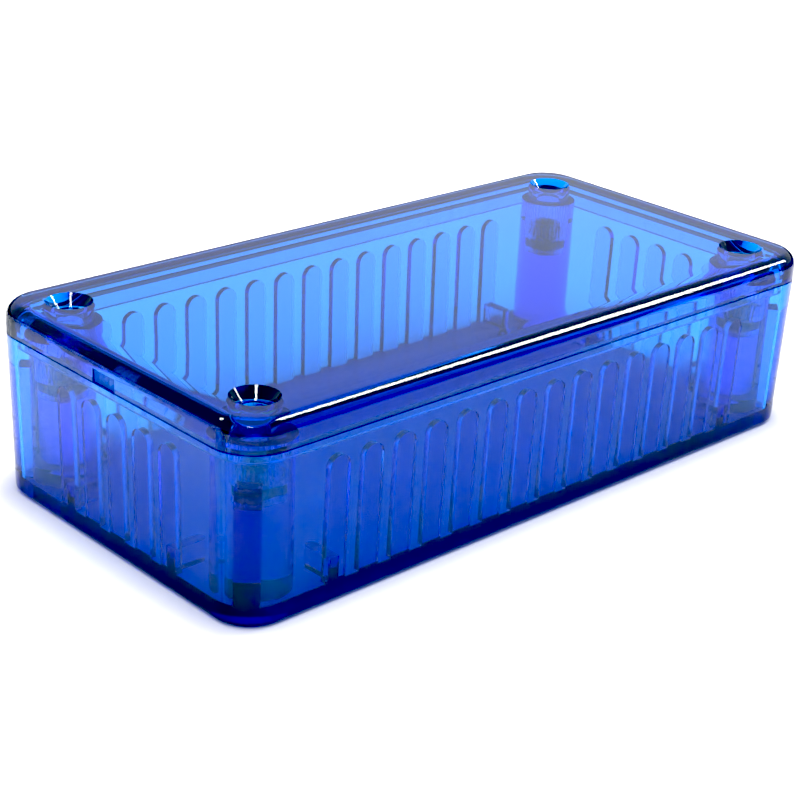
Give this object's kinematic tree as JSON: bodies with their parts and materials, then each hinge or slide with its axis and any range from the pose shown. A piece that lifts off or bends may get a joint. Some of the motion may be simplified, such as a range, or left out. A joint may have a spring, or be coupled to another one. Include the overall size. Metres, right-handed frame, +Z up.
{
  "type": "small translucent equipment enclosure",
  "caption": "Small moulded translucent enclosure with a lift-off countersunk lid, board-slot wall ribs and threaded inserts in its corner bosses.",
  "frame": {"origin": "centre of the footprint, on the underside of the shell", "axes": "+X along the length, +Y along the depth towards the back, +Z up through the lid"},
  "size_m": [0.1, 0.0502, 0.0252],
  "materials": {
    "shell_plastic": "glossy translucent blue moulded plastic",
    "lid_plastic": "glossy translucent blue moulded plastic",
    "insert_metal": "dark plated, knurled"
  },
  "bodies": {
    "shell": {"base_shell": "shell_plastic", "insert_front_left": "insert_metal", "insert_front_right": "insert_metal", "insert_back_left": "insert_metal", "insert_back_right": "insert_metal"},
    "lid": {"lid": "lid_plastic"}
  },
  "joints": [
    {"name": "lid_lift", "type": "slide", "parent": "shell", "child": "lid", "axis": [0, 0, 1], "range_m": [0, 0.04]}
  ]
}
